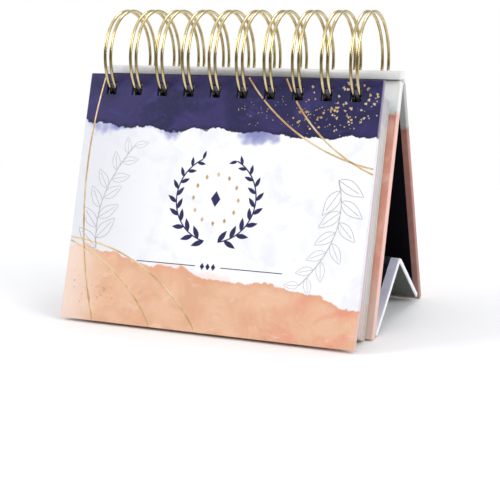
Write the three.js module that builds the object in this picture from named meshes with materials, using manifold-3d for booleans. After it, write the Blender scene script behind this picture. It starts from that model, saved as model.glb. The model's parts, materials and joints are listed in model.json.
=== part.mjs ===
// Perpetual desk calendar: a wrapped easel with a folding base, a twin-loop binding wire,
// a hard cover and twelve month blocks of leaves that turn over the wire.
// Millimetres, +Z up, +X to the right of a reader in front, the front faces -Y.
import * as THREE from 'three';
import * as BufferGeometryUtils from 'three/addons/utils/BufferGeometryUtils.js';
import Module from 'manifold-3d';

// Binding wire
const wirePitch = 12.7;
const loopSideMargin = 9.5;
const wireDiameter = 1.45;
const loopRadius = 20.8;
const pairSpacing = 2.8;
const closureAngle = 45;
const tipGap = 1.4;
const rootBendRadius = 1.1;
const rootStub = 2.2;
const loopSteps = 24;
const tubeSides = 6;
const tipSteps = 4;
const bendSteps = 2;

// Hard cover, and how far its face stands in front of the wire's axis
const coverWidth = 137;
const coverHeight = 110;
const coverThickness = 2.2;
const coverFace = 13.4;

// Leaves: one block a month
const monthCount = 12;
const leafWidth = 134;
const leafHeight = 100;
const monthThickness = 0.93;
const monthGap = 0.12;

// Square punched holes
const holeWidth = 5;
const holeHeight = 5.5;
const coverHoleMargin = 3.9;
const leafHoleMargin = 3.5;
const hangClearance = 0.35;

// Easel boards
const frontLean = 19.5;
const backLean = 15.8;
const boardSideMargin = 1.5;
const frontBoardThickness = 4;
const backBoardThickness = 3;
const frontBoardHeight = 108.8;
const frontBoardDrop = 6.4;
const boardBehindAxis = 8.2;
const footFlat = 0.5;
const backHoleDrop = 10.4;

// Ridge between the boards
const spineDepth = 6.4;
const spineThickness = 2.4;
const spineBehindAxis = 0.45;
const grooveGap = 0.4;
const foldDrop = 0.75;
const foldGap = 0.3;
const wrapThickness = 0.4;
const wrapGap = 0.2;

// Lining sheets inside the tent and behind the cover
const liningThickness = 0.2;
const liningGap = 0.15;
const liningSideMargin = 4;
const liningEndMargin = 4;
const liningFootMargin = 1.6;
const liningDrop = 15.5;

// Folding base
const basePanelThickness = 2;
const basePanelLength = 39.5;
const baseFootRise = 2.8;
const foldedClearance = 0.25;
const openPivotClearance = 2.2;
const creaseGap = 0.3;

const restClearance = 0.3;

const wasm = await Module();
wasm.setup();

// Derived sizes
const frontAngle = THREE.MathUtils.degToRad(frontLean);
const backAngle = THREE.MathUtils.degToRad(backLean);
const wireRadius = wireDiameter / 2;
const pairHalf = pairSpacing / 2;
const boardWidth = coverWidth + 2 * boardSideMargin;
const frontFootDrop = frontBoardDrop + frontBoardHeight;
const liningDepth = liningThickness + liningGap;
const axisHeight = frontFootDrop * Math.cos(frontAngle) + boardBehindAxis * Math.sin(frontAngle) - footFlat;

// How far under its axis the wire crosses a plane that stands off the axis by the given distance
function wireDrop(offset) {
  return Math.sqrt(loopRadius ** 2 - offset ** 2);
}

// Half the wire's width along such a plane
function wireHalf(offset) {
  return wireRadius * loopRadius / wireDrop(offset);
}

// Top of a hole through a plate that lies between two such planes and hangs on the wire
function holeTopUnder(nearOffset, farOffset) {
  const near = wireDrop(nearOffset) - wireHalf(nearOffset);
  const far = wireDrop(farOffset) - wireHalf(farOffset);
  return Math.min(near, far) - hangClearance;
}

// Section points are (y, z) pairs seen from the right, measured from the wire's axis
function fromFront(up, out) {
  return new THREE.Vector2(
    up * Math.sin(frontAngle) - out * Math.cos(frontAngle),
    up * Math.cos(frontAngle) + out * Math.sin(frontAngle),
  );
}

function material(color, roughness, metalness = 0) {
  return new THREE.MeshStandardMaterial({ color, roughness, metalness });
}

function asSolid(geometry) {
  const bare = geometry.clone();
  bare.deleteAttribute('normal');
  bare.deleteAttribute('uv');
  const merged = BufferGeometryUtils.mergeVertices(bare);
  return new wasm.Manifold(new wasm.Mesh({
    numProp: 3,
    vertProperties: new Float32Array(merged.attributes.position.array),
    triVerts: new Uint32Array(merged.index.array),
  }));
}

function asGeometry(solid) {
  const mesh = solid.getMesh();
  const geometry = new THREE.BufferGeometry();
  geometry.setAttribute('position', new THREE.BufferAttribute(mesh.vertProperties, 3));
  geometry.setIndex(new THREE.BufferAttribute(mesh.triVerts, 1));
  geometry.computeVertexNormals();
  return geometry;
}

// Middle of each wire pair along the width, as many as the leaves and the cover have room for
const boundWidth = Math.min(coverWidth, leafWidth);
const loopCount = Math.floor((boundWidth - 2 * loopSideMargin) / wirePitch) + 1;
const loopCentres = [];
for (let i = 0; i < loopCount; i += 1) {
  loopCentres.push((i - (loopCount - 1) / 2) * wirePitch);
}

function box(width, low, high, face, thickness) {
  const geometry = new THREE.BoxGeometry(width, high - low, thickness);
  geometry.translate(0, (low + high) / 2, face - thickness / 2);
  return geometry;
}

// A plate in its own frame: X along the width, Y up along the plate, Z out of its face
function plate({ width, low, high, face, thickness, holeMiddle }) {
  const blank = box(width, low, high, face, thickness);
  if (holeMiddle === undefined) return blank;
  let solid = asSolid(blank);
  for (const x of loopCentres) {
    const punch = box(
      holeWidth,
      holeMiddle - holeHeight / 2,
      holeMiddle + holeHeight / 2,
      face + thickness,
      3 * thickness,
    );
    punch.translate(x, 0, 0);
    solid = solid.subtract(asSolid(punch));
  }
  return asGeometry(solid);
}

// A frame whose plates lean back by the given angle, at a section point
function leaningGroup(lean, point) {
  const group = new THREE.Group();
  group.rotation.x = Math.PI / 2 - lean;
  group.position.set(0, point.x, point.y);
  return group;
}

function named(name, geometry, finish) {
  const mesh = new THREE.Mesh(geometry, finish);
  mesh.name = name;
  return mesh;
}

// Cuts a board's foot flat along the surface that the calendar stands on
function trimFoot(geometry, group) {
  const floorCutter = new THREE.BoxGeometry(2 * boardWidth, 4 * frontBoardHeight, frontBoardHeight);
  floorCutter.translate(0, 0, -axisHeight - frontBoardHeight / 2);
  group.updateMatrix();
  floorCutter.applyMatrix4(group.matrix.clone().invert());
  return asGeometry(asSolid(geometry).subtract(asSolid(floorCutter)));
}

// Finishes
const whiteWrap = material(0xd6d6d4, 0.6);
const peachWrap = material(0xd99a7e, 0.55);
const coverPrint = material(0xf0ece8, 0.4);
const darkLining = material(0x0b0b1c, 0.7);
const paperEdge = material(0xe4d9d6, 0.8);
const wireGold = material(0xc8a765, 0.3, 1);

const calendar = new THREE.Group();

// Everything hangs on a group at the wire's axis, shifted so that the depth is centred
const fold = fromFront(-(frontBoardDrop + foldDrop), -(boardBehindAxis + foldGap));
const backBoardLength = (axisHeight + fold.y + footFlat) / Math.cos(backAngle);
const rearMost = fold.x + backBoardLength * Math.sin(backAngle) + backBoardThickness * Math.cos(backAngle);

// The cover hangs with its holes on the wire
const coverBack = coverFace - coverThickness;
const coverHoleTop = holeTopUnder(coverFace, coverBack);
const coverTop = -(coverHoleTop - coverHoleMargin);
const frontMost = fromFront(coverTop - coverHeight, coverFace).x;

const axisGroup = new THREE.Group();
axisGroup.position.set(0, -(rearMost + frontMost) / 2, axisHeight);
calendar.add(axisGroup);

// Hard cover with its inner lining
const coverGroup = leaningGroup(frontAngle, new THREE.Vector2(0, 0));
const coverHoleMiddle = -(coverHoleTop + holeHeight / 2);
coverGroup.add(named('cover_board', plate({
  width: coverWidth,
  low: coverTop - coverHeight,
  high: coverTop,
  face: coverFace,
  thickness: coverThickness,
  holeMiddle: coverHoleMiddle,
}), coverPrint));
coverGroup.add(named('cover_lining', plate({
  width: coverWidth - liningSideMargin,
  low: coverTop - coverHeight + liningSideMargin / 2,
  high: coverTop - liningSideMargin / 2,
  face: coverBack - liningGap,
  thickness: liningThickness,
  holeMiddle: coverHoleMiddle,
}), coverPrint));
axisGroup.add(coverGroup);

// Month blocks: each hangs on the wire, and they fan out until the last rests on the easel
const leavesFace = coverBack - liningDepth - restClearance;
const monthPitch = monthThickness + monthGap;
const leavesBack = leavesFace - monthCount * monthPitch + monthGap;
const easelFace = -(boardBehindAxis - frontBoardThickness);
const leafReach = wireDrop(0) + leafHeight;
const fan = (leavesBack - easelFace - restClearance) / leafReach;
for (let month = 0; month < monthCount; month += 1) {
  const face = leavesFace - month * monthPitch;
  const holeTop = holeTopUnder(face, face - monthThickness);
  const top = -(holeTop - leafHoleMargin);
  const turn = fan * month / (monthCount - 1);
  const monthGroup = leaningGroup(frontAngle - turn, new THREE.Vector2(0, 0));
  monthGroup.add(named(`month_${String(month + 1).padStart(2, '0')}_leaves`, plate({
    width: leafWidth,
    low: top - leafHeight,
    high: top,
    face,
    thickness: monthThickness,
    holeMiddle: -(holeTop + holeHeight / 2),
  }), paperEdge));
  axisGroup.add(monthGroup);
}

// Easel front board, which the wire goes through, and its lining inside the tent
const frontGroup = leaningGroup(frontAngle, new THREE.Vector2(0, 0));
const frontHoleMiddle = -(wireDrop(easelFace) + wireDrop(-boardBehindAxis)) / 2;
const frontBoard = plate({
  width: boardWidth,
  low: -frontFootDrop,
  high: -frontBoardDrop,
  face: easelFace,
  thickness: frontBoardThickness,
  holeMiddle: frontHoleMiddle,
});
frontGroup.add(named('easel_front_board', trimFoot(frontBoard, frontGroup), peachWrap));
frontGroup.add(named('front_board_lining', plate({
  width: boardWidth - 2 * liningSideMargin,
  low: -frontFootDrop + liningFootMargin,
  high: -(frontBoardDrop + foldDrop) - liningDrop,
  face: -boardBehindAxis - liningGap,
  thickness: liningThickness,
}), darkLining));
axisGroup.add(frontGroup);

// Easel back board, which folds about the ridge
const backGroup = leaningGroup(-backAngle, fold);
const backBoard = plate({
  width: boardWidth,
  low: -backBoardLength,
  high: 0,
  face: 0,
  thickness: backBoardThickness,
  holeMiddle: -backHoleDrop,
});
backGroup.add(named('easel_back_board', trimFoot(backBoard, backGroup), peachWrap));
backGroup.add(named('back_board_lining', plate({
  width: boardWidth - 2 * liningSideMargin,
  low: -backBoardLength + liningFootMargin,
  high: -liningDrop,
  face: liningGap + liningThickness,
  thickness: liningThickness,
}), darkLining));
axisGroup.add(backGroup);

// Ridge: a narrow spine board that lies across both boards, under a folded wrap
const frontTopCorner = fromFront(-frontBoardDrop, easelFace);
const spineLow = frontTopCorner.y + grooveGap;
const spineFront = spineBehindAxis;
const spineGeometry = new THREE.BoxGeometry(boardWidth, spineDepth, spineThickness);
spineGeometry.translate(0, spineFront + spineDepth / 2, spineLow + spineThickness / 2);
axisGroup.add(named('ridge_spine', spineGeometry, whiteWrap));

// The wrap is a channel over the spine, open below, in a section seen from the side
function ridgeWrapGeometry() {
  const inner = wrapGap;
  const outer = wrapGap + wrapThickness;
  const spineBack = spineFront + spineDepth;
  const spineHigh = spineLow + spineThickness;
  const shape = new THREE.Shape();
  shape.moveTo(spineFront - outer, spineLow);
  shape.lineTo(spineFront - inner, spineLow);
  shape.lineTo(spineFront - inner, spineHigh + inner);
  shape.lineTo(spineBack + inner, spineHigh + inner);
  shape.lineTo(spineBack + inner, spineLow);
  shape.lineTo(spineBack + outer, spineLow);
  shape.lineTo(spineBack + outer, spineHigh + inner);
  shape.absarc(spineBack + inner, spineHigh + inner, wrapThickness, 0, Math.PI / 2, false);
  shape.lineTo(spineFront - inner, spineHigh + outer);
  shape.absarc(spineFront - inner, spineHigh + inner, wrapThickness, Math.PI / 2, Math.PI, false);
  shape.closePath();
  const geometry = new THREE.ExtrudeGeometry(shape, {
    depth: boardWidth,
    bevelEnabled: false,
    curveSegments: 3,
  });
  // The section's (y, z) plane is turned so that it is extruded along X
  const basis = new THREE.Matrix4().makeBasis(
    new THREE.Vector3(0, 1, 0),
    new THREE.Vector3(0, 0, 1),
    new THREE.Vector3(1, 0, 0),
  );
  geometry.applyMatrix4(basis);
  geometry.translate(-boardWidth / 2, 0, 0);
  return geometry;
}
axisGroup.add(named('ridge_wrap', ridgeWrapGeometry(), whiteWrap));

// Folding base: two lined panels joined at a crease, hinged at the two feet.
// Each foot pivot stands off its board by both linings and a running gap.
const footStandOff = 2 * liningDepth + foldedClearance;
const frontPivot = fromFront(-frontFootDrop + baseFootRise, -(boardBehindAxis + footStandOff));
const backPivot = new THREE.Vector2(
  fold.x + (backBoardLength - baseFootRise) * Math.sin(backAngle) - footStandOff * Math.cos(backAngle),
  fold.y - (backBoardLength - baseFootRise) * Math.cos(backAngle) - footStandOff * Math.sin(backAngle),
);
const frontPivotReach = frontPivot.distanceTo(fold);
const backPivotReach = backPivot.distanceTo(fold);
const rearPanelLength = basePanelLength - (frontPivotReach - backPivotReach);

// The crease lies under the apex, where two circles about the foot pivots cross
function creasePoint() {
  const nearArm = Math.hypot(basePanelLength, basePanelThickness);
  const farArm = Math.hypot(rearPanelLength, basePanelThickness);
  const span = frontPivot.distanceTo(backPivot);
  const along = (nearArm ** 2 - farArm ** 2 + span ** 2) / (2 * span);
  const rise = Math.sqrt(nearArm ** 2 - along ** 2);
  const direction = backPivot.clone().sub(frontPivot).divideScalar(span);
  return new THREE.Vector2(
    frontPivot.x + direction.x * along - direction.y * rise,
    frontPivot.y + direction.y * along + direction.x * rise,
  );
}
const crease = creasePoint();
const frontPanelSlope = Math.atan2(crease.y - frontPivot.y, crease.x - frontPivot.x)
  + Math.atan2(basePanelThickness, basePanelLength);
const rearPanelSlope = Math.atan2(crease.y - backPivot.y, backPivot.x - crease.x)
  + Math.atan2(basePanelThickness, rearPanelLength);

// Front panel: its upper face starts at the front pivot
const baseFrontGroup = leaningGroup(Math.PI / 2 - frontPanelSlope, frontPivot);
baseFrontGroup.add(named('base_front_panel', plate({
  width: boardWidth,
  low: 0,
  high: basePanelLength,
  face: 0,
  thickness: basePanelThickness,
}), whiteWrap));
baseFrontGroup.add(named('base_front_lining', plate({
  width: boardWidth - 2 * liningSideMargin,
  low: liningEndMargin,
  high: basePanelLength - liningEndMargin / 2,
  face: liningDepth,
  thickness: liningThickness,
}), darkLining));
axisGroup.add(baseFrontGroup);

// Rear panel: its underside starts at the crease, and its free end stops short of the back board
const baseBackGroup = leaningGroup(rearPanelSlope - Math.PI / 2, crease);
const rearPanelEnd = -(rearPanelLength - openPivotClearance);
baseBackGroup.add(named('base_back_panel', plate({
  width: boardWidth,
  low: rearPanelEnd,
  high: -creaseGap,
  face: 0,
  thickness: basePanelThickness,
}), whiteWrap));
baseBackGroup.add(named('base_back_lining', plate({
  width: boardWidth - 2 * liningSideMargin,
  low: rearPanelEnd + liningEndMargin,
  high: -liningEndMargin / 2,
  face: -basePanelThickness - liningGap,
  thickness: liningThickness,
}), darkLining));
axisGroup.add(baseBackGroup);

// Binding wire: one unbroken route on a cylinder round the axis.
// A route point is [x, angle], with the angle from straight down towards the back.
const closure = THREE.MathUtils.degToRad(closureAngle);
const tipAngle = closure - 2 * Math.PI + (tipGap + pairHalf) / loopRadius;

function wireRoute() {
  const route = [];
  const bendAngle = rootBendRadius / loopRadius;
  const lastLoop = loopCentres.length - 1;
  loopCentres.forEach((centre, loop) => {
    const left = centre - pairHalf;
    const right = centre + pairHalf;
    if (loop === 0) route.push([left - rootStub, closure]);
    for (let i = 0; i <= bendSteps; i += 1) {
      const turn = i / bendSteps * Math.PI / 2;
      route.push([
        left - rootBendRadius * (1 - Math.sin(turn)),
        closure - bendAngle * (1 - Math.cos(turn)),
      ]);
    }
    const start = closure - bendAngle;
    for (let i = 1; i <= loopSteps; i += 1) {
      route.push([left, start + (tipAngle - start) * i / loopSteps]);
    }
    for (let i = 1; i < tipSteps; i += 1) {
      const turn = i / tipSteps * Math.PI;
      route.push([
        centre - pairHalf * Math.cos(turn),
        tipAngle - pairHalf / loopRadius * Math.sin(turn),
      ]);
    }
    for (let i = loopSteps; i >= 0; i -= 1) {
      route.push([right, start + (tipAngle - start) * i / loopSteps]);
    }
    for (let i = 1; i <= bendSteps; i += 1) {
      const turn = i / bendSteps * Math.PI / 2;
      route.push([
        right + rootBendRadius * (1 - Math.cos(turn)),
        closure - bendAngle * (1 - Math.sin(turn)),
      ]);
    }
    if (loop === lastLoop) route.push([right + rootStub, closure]);
  });
  return route;
}

function onCylinder([x, angle]) {
  return new THREE.Vector3(x, loopRadius * Math.sin(angle), -loopRadius * Math.cos(angle));
}

// A tube of flat sides along the route, with a flat cap on each end
function tubeGeometry(route) {
  const points = route.map(onCylinder);
  const positions = [];
  const indices = [];
  points.forEach((point, i) => {
    const before = points[Math.max(i - 1, 0)];
    const after = points[Math.min(i + 1, points.length - 1)];
    const tangent = after.clone().sub(before).normalize();
    const radial = new THREE.Vector3(0, point.y, point.z).normalize();
    const side = new THREE.Vector3().crossVectors(tangent, radial).normalize();
    const normal = new THREE.Vector3().crossVectors(side, tangent).normalize();
    for (let k = 0; k < tubeSides; k += 1) {
      const angle = k / tubeSides * 2 * Math.PI;
      const rim = point.clone()
        .addScaledVector(normal, wireRadius * Math.cos(angle))
        .addScaledVector(side, wireRadius * Math.sin(angle));
      positions.push(rim.x, rim.y, rim.z);
    }
  });
  for (let i = 0; i < points.length - 1; i += 1) {
    for (let k = 0; k < tubeSides; k += 1) {
      const a = i * tubeSides + k;
      const b = i * tubeSides + (k + 1) % tubeSides;
      const c = a + tubeSides;
      const d = b + tubeSides;
      indices.push(a, b, c, b, d, c);
    }
  }
  const last = (points.length - 1) * tubeSides;
  for (let k = 1; k < tubeSides - 1; k += 1) {
    indices.push(0, k + 1, k);
    indices.push(last, last + k, last + k + 1);
  }
  const geometry = new THREE.BufferGeometry();
  geometry.setAttribute('position', new THREE.Float32BufferAttribute(positions, 3));
  geometry.setIndex(indices);
  geometry.computeVertexNormals();
  return geometry;
}

// Least gap between stretches of the wire that lie further apart along it than a tip's bend
function leastGap(route) {
  const points = route.map(onCylinder);
  const lengths = [0];
  for (let i = 1; i < points.length; i += 1) {
    lengths.push(lengths[i - 1] + points[i].distanceTo(points[i - 1]));
  }
  const bendLength = Math.PI * pairHalf;
  let least = Infinity;
  for (let i = 0; i < points.length; i += 1) {
    for (let j = i + 1; j < points.length; j += 1) {
      if (lengths[j] - lengths[i] > bendLength) {
        least = Math.min(least, points[i].distanceTo(points[j]) - wireDiameter);
      }
    }
  }
  return least;
}

const route = wireRoute();
console.log(`binding wire: ${route.length} points, least gap to itself ${leastGap(route).toFixed(2)} mm`);
axisGroup.add(named('binding_wire', tubeGeometry(route), wireGold));

export default calendar;
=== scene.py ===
# A perpetual desk calendar: a printed cover and twelve months of leaves on a gilt wire over a folding easel
import json
import random
from math import atan2, cos, hypot, pi, radians, sin, tau

import bmesh
import bpy
from mathutils import Matrix, Vector
from mathutils.geometry import delaunay_2d_cdt


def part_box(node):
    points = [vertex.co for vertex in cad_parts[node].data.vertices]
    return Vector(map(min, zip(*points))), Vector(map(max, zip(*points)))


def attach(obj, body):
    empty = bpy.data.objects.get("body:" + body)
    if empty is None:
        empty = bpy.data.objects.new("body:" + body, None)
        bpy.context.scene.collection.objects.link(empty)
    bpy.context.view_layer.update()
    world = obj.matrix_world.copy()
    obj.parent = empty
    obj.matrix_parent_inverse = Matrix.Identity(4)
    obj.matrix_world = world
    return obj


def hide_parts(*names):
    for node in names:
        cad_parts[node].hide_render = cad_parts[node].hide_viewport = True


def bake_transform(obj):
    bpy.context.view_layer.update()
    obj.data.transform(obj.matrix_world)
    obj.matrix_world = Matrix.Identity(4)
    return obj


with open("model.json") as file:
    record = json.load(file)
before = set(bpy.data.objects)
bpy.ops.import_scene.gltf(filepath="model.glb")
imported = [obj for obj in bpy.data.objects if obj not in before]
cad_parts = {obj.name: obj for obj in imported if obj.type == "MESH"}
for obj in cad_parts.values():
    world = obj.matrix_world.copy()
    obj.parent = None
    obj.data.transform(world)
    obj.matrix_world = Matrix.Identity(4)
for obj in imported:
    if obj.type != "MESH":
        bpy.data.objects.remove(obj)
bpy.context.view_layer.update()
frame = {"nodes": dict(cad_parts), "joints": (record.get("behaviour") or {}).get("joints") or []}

# Pieces are drawn in millimetres and placed in the frame's metres
MM = 0.001

# Binding wire
WIRE_PITCH = 12.7
LOOP_COUNT = 10
WIRE_RADIUS = 0.69
LOOP_RADIUS = 20.8
PAIR_HALF = 1.4
CLOSURE_ANGLE = radians(45)
TIP_GAP = 1.4
ROOT_BEND_RADIUS = 1.1
ROOT_STUB = 2.2
WIRE_SIDES = 14
ARC_STEPS = 84
BEND_STEPS = 6
TIP_STEPS = 12

# Punched holes
HOLE_WIDTH = 5.0
HOLE_CORNER = 0.35
PUNCH_ROUND = 0.12

# Vertices nearer than this to a panel's edges or to its foot belong to its outline, not to its holes
EDGE_BAND = 1.0
FOOT_BAND = 3.0

# Boards, sheets and folds
BOARD_HALF = 70.0
BOARD_ROUND = 0.45
BOARD_CORNER = 0.8
COVER_ROUND = 0.3
COVER_CORNER = 0.5
PANEL_ROUND = 0.3
PANEL_CORNER = 0.6
SPINE_ROUND = 0.15
SPINE_CORNER = 0.2
LINING_ROUND = 0.06
LINING_CORNER = 0.5
LINING_MARGIN = 4.0
LINING_SPREAD = 1.2
LEAF_HALF = 67.0
LEAF_HEIGHT = 100.0
LEAF_ROUND = 0.004
LEAF_CORNER = 0.4
SHEETS_PER_MONTH = 15
SHEET_GAP = 0.008
SHEET_SCATTER = 0.14
FIRST_LEAF_SEED = 40
RIDGE_SKIN = 0.4
RIDGE_ROUND = 0.7
RIDGE_END = 0.45
RIDGE_INSET = 0.03
HINGE_PAPER = 0.12
BASE_LENGTH = 39.5
BASE_THICKNESS = 2.0

# Cover artwork: foil and ink lie on the print, which keeps a little below the board's face for them
PRINT_DROP = 0.05
FOIL_HEIGHT = 0.05
FOIL_SINK = 0.005
FOIL_LINE = 0.75
COVER_HALF = 68.5
COVER_HEIGHT = 110.0
LINE_MARGIN = 0.3
LEAF_SWAY = 0.16
MIDRIB_SHARE = 0.8
WREATH_MIDDLE = (0, 53)
RULE_DOWN = 82
FLECK_CELL = 1.5
FLECK_ROWS = 40
FLECK_MARGIN = 1.6
FLECK_RADII = (0.5, 0.3, 0.56, 0.38, 0.52, 0.28, 0.46)

# The photograph's camera
CAMERA_PLACE = (0.22227, -0.48685, 0.15648)
CAMERA_TURN = radians(24.17)
CAMERA_PITCH = radians(13.6)
CAMERA_ROLL = radians(-1.11)
CAMERA_LENS = 88.61
SENSOR_WIDTH = 36.0

# Half the width of the floor, in metres
FLOOR_REACH = 4.0

MONTHS = [f"month_{month:02d}" for month in range(1, 13)]
HOLE_CENTRES = [(i - (LOOP_COUNT - 1) / 2) * WIRE_PITCH for i in range(LOOP_COUNT)]
SQUARE = ((-1, -1), (1, -1), (1, 1), (-1, 1))
IN_FRAME = Matrix.Identity(4)
JOINTS = {joint["name"]: Vector(joint["pos_m"]) for joint in frame["joints"]}


# Node trees, written as expressions


def arithmetic(operation):
    return lambda self, other: self.tree.math(operation, self, other)


class Value:
    """A socket of a node tree. Arithmetic on it adds Math nodes."""

    def __init__(self, tree, socket):
        self.tree = tree
        self.socket = socket

    def output(self, name):
        """Another output of the same node."""
        return Value(self.tree, self.socket.node.outputs[name])

    __add__ = __radd__ = arithmetic("ADD")
    __sub__ = arithmetic("SUBTRACT")
    __mul__ = __rmul__ = arithmetic("MULTIPLY")
    __truediv__ = arithmetic("DIVIDE")
    __mod__ = arithmetic("MODULO")
    largest = arithmetic("MAXIMUM")

    def __rsub__(self, other):
        return self.tree.math("SUBTRACT", other, self)

    def __neg__(self):
        return self * -1

    def size(self):
        return self.tree.math("ABSOLUTE", self)

    def step(self, low, high, start=0.0, end=1.0):
        """A smooth step from start to end as the value goes from low to high."""
        sockets = {"Value": self, "From Min": low, "From Max": high, "To Min": start, "To Max": end}
        return self.tree.node("ShaderNodeMapRange", sockets, interpolation_type="SMOOTHSTEP")


class Tree:
    """A node tree with one method that adds its nodes."""

    def __init__(self, tree):
        self.tree = tree
        self.tree.nodes.clear()

    def node(self, kind, inputs=None, output=0, **settings):
        """Adds a node: its settings first, and then its sockets' values or links."""
        made = self.tree.nodes.new(kind)
        for name, setting in settings.items():
            setattr(made, name, setting)
        for key, value in (inputs or {}).items():
            self.feed(made.inputs[key], value)
        return Value(self, made.outputs[output]) if made.outputs else None

    def feed(self, socket, value):
        for item in value if isinstance(value, list) else [value]:
            if isinstance(item, Value):
                self.tree.links.new(item.socket, socket)
            else:
                socket.default_value = (*item, 1) if socket.type == "RGBA" else item

    def math(self, operation, *values):
        return self.node("ShaderNodeMath", dict(enumerate(values)), operation=operation)

    def point(self, x, y, z=0.0):
        return self.node("ShaderNodeCombineXYZ", {0: x, 1: y, 2: z})

    def chance(self, low, high, seed, kind="FLOAT"):
        """A random number, or vector, for each point."""
        first = 2 if kind == "FLOAT" else 0
        sockets = {first: low, first + 1: high, "Seed": seed}
        return self.node("FunctionNodeRandomValue", sockets, first // 2, data_type=kind)


def linear(display):
    """A linear colour from a display colour written as 0xRRGGBB."""
    shares = [(display >> shift & 255) / 255 for shift in (16, 8, 0)]
    return tuple(share / 12.92 if share <= 0.04045 else ((share + 0.055) / 1.055) ** 2.4 for share in shares)


class Finish(Tree):
    """A material, with its patterns laid out in the millimetres of a piece's panel."""

    def __init__(self, name):
        self.material = bpy.data.materials.new(name)
        self.material.use_nodes = True
        super().__init__(self.material.node_tree)
        self.panel = self.node("ShaderNodeAttribute", output="Vector", attribute_name="panel")
        self.x = self.node("ShaderNodeSeparateXYZ", {0: self.panel})
        self.y = self.x.output("Y")
        self.z = self.x.output("Z")

    def stretched(self, x, y, z):
        """The panel point with each direction scaled, for grain that runs one way."""
        return self.node("ShaderNodeVectorMath", {0: self.panel, 1: (x, y, z)}, operation="MULTIPLY")

    def noise(self, scale, detail=3.0, roughness=0.55, where=None, distortion=0.0):
        return self.node("ShaderNodeTexNoise", {
            "Vector": where or self.panel, "Scale": scale, "Detail": detail, "Roughness": roughness,
            "Distortion": distortion,
        })

    def side_edge(self, start, fade):
        """0 over a panel's face and 1 past a distance from its middle, towards both side edges."""
        return (self.x.size() - start).step(0.0, fade)

    def mix(self, first, second, share):
        """A mix of two colours, each a socket or a display colour."""
        first, second = (linear(tone) if isinstance(tone, int) else tone for tone in (first, second))
        return self.node("ShaderNodeMix", {0: share, 6: first, 7: second}, 2, data_type="RGBA")

    def over(self, colour, *layers):
        """Lays tones over a colour one by one, each with its share."""
        for tone, share in layers:
            colour = self.mix(colour, tone, share)
        return colour

    def surface(self, colour, roughness, bump=None, depth=0.0, specular=0.35, metallic=0.0):
        """Closes the material. The bump's depth is in millimetres."""
        sockets = {"Base Color": colour, "Roughness": roughness, "Specular IOR Level": specular,
                   "Metallic": metallic}
        if bump:
            sockets["Normal"] = self.node("ShaderNodeBump", {"Height": bump, "Distance": depth * MM})
        shader = self.node("ShaderNodeBsdfPrincipled", sockets)
        self.node("ShaderNodeOutputMaterial", {"Surface": shader})
        return self.material


# Places, measured on the frame


def panel_frame(node, origin):
    """The frame of a flat node: X along its width, Y up along it and Z out of its upper or front face."""
    vertices = [vertex.co for vertex in frame["nodes"][node].data.vertices]
    right = max(co.x for co in vertices)
    corners = [Vector((co.y, co.z)) for co in vertices if right - co.x < 1e-6]
    longest = Vector((0, 0))
    for first in corners:
        for second in corners:
            edge = second - first
            if edge.length <= longest.length + 1e-7 or edge.y <= 0:
                continue
            sides = [edge.x * (c.y - first.y) - edge.y * (c.x - first.x) for c in corners]
            tolerance = 1e-6 * edge.length
            if min(sides) > -tolerance or max(sides) < tolerance:
                longest = edge
    return Matrix.Translation(origin) @ Matrix.Rotation(atan2(longest.y, longest.x), 4, "X")


def panel_points(node, place):
    inverse = place.inverted()
    return [inverse @ vertex.co / MM for vertex in frame["nodes"][node].data.vertices]


def panel_box(node, place):
    """A node's lowest and highest corner in a panel frame, in millimetres."""
    points = panel_points(node, place)
    low = Vector([min(point[i] for point in points) for i in range(3)])
    high = Vector([max(point[i] for point in points) for i in range(3)])
    return low, high


def in_mm(corners):
    return [corner / MM for corner in corners]


def hole_span(node, place):
    """The lower and upper edge of a node's punched holes in its panel frame, or None where it has none."""
    low, high = panel_box(node, place)
    low += Vector((EDGE_BAND, FOOT_BAND, 0))
    high -= Vector((EDGE_BAND, EDGE_BAND, 0))
    heights = [y for x, y, _ in panel_points(node, place) if low.x < x < high.x and low.y < y < high.y]
    return (min(heights), max(heights)) if heights else None


def side_point(place, y, z):
    """A panel point seen from the right, as (y, z) in the frame's millimetres."""
    spot = place @ Vector((0, y * MM, z * MM)) / MM
    return Vector((spot.y, spot.z))


def frame_point(side):
    """A side point as a point of the frame, in metres."""
    return Vector((0, side.x, side.y)) * MM


# Meshes


def keep_panel_points(mesh):
    """Stores where each point lies on its panel, for the finishes to read."""
    attribute = mesh.attributes.new("panel", "FLOAT_VECTOR", "POINT")
    attribute.data.foreach_set("vector", [value for vertex in mesh.vertices for value in vertex.co])


def drawn_mesh(name, shape):
    points, faces, smooth = shape
    mesh = bpy.data.meshes.new(name)
    mesh.from_pydata(points, [], faces)
    mesh.polygons.foreach_set("use_smooth", smooth)
    return mesh


def in_scene(name, data):
    made = bpy.data.objects.new(name, data)
    bpy.context.scene.collection.objects.link(made)
    return made


def piece(name, shape, place, material, body, replaces=()):
    """Places a mesh or shape, drawn in a panel's millimetres, and attaches it to one body; where two are
    given, it only fixes the piece in place.
    """
    mesh = shape if isinstance(shape, bpy.types.Mesh) else drawn_mesh(name, shape)
    if "panel" not in mesh.attributes:
        keep_panel_points(mesh)
    mesh.transform(place @ Matrix.Scale(MM, 4))
    mesh.materials.clear()
    mesh.materials.append(material)
    made = in_scene(name, mesh)
    if isinstance(body, str):
        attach(made, body)
    else:
        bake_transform(made)
    if replaces:
        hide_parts(*replaces)
    return made


def joined(*shapes):
    points, faces, smooth = [], [], []
    for part_points, part_faces, part_smooth in shapes:
        start = len(points)
        points += part_points
        faces += [tuple(start + i for i in face) for face in part_faces]
        smooth += part_smooth
    return points, faces, smooth


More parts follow.
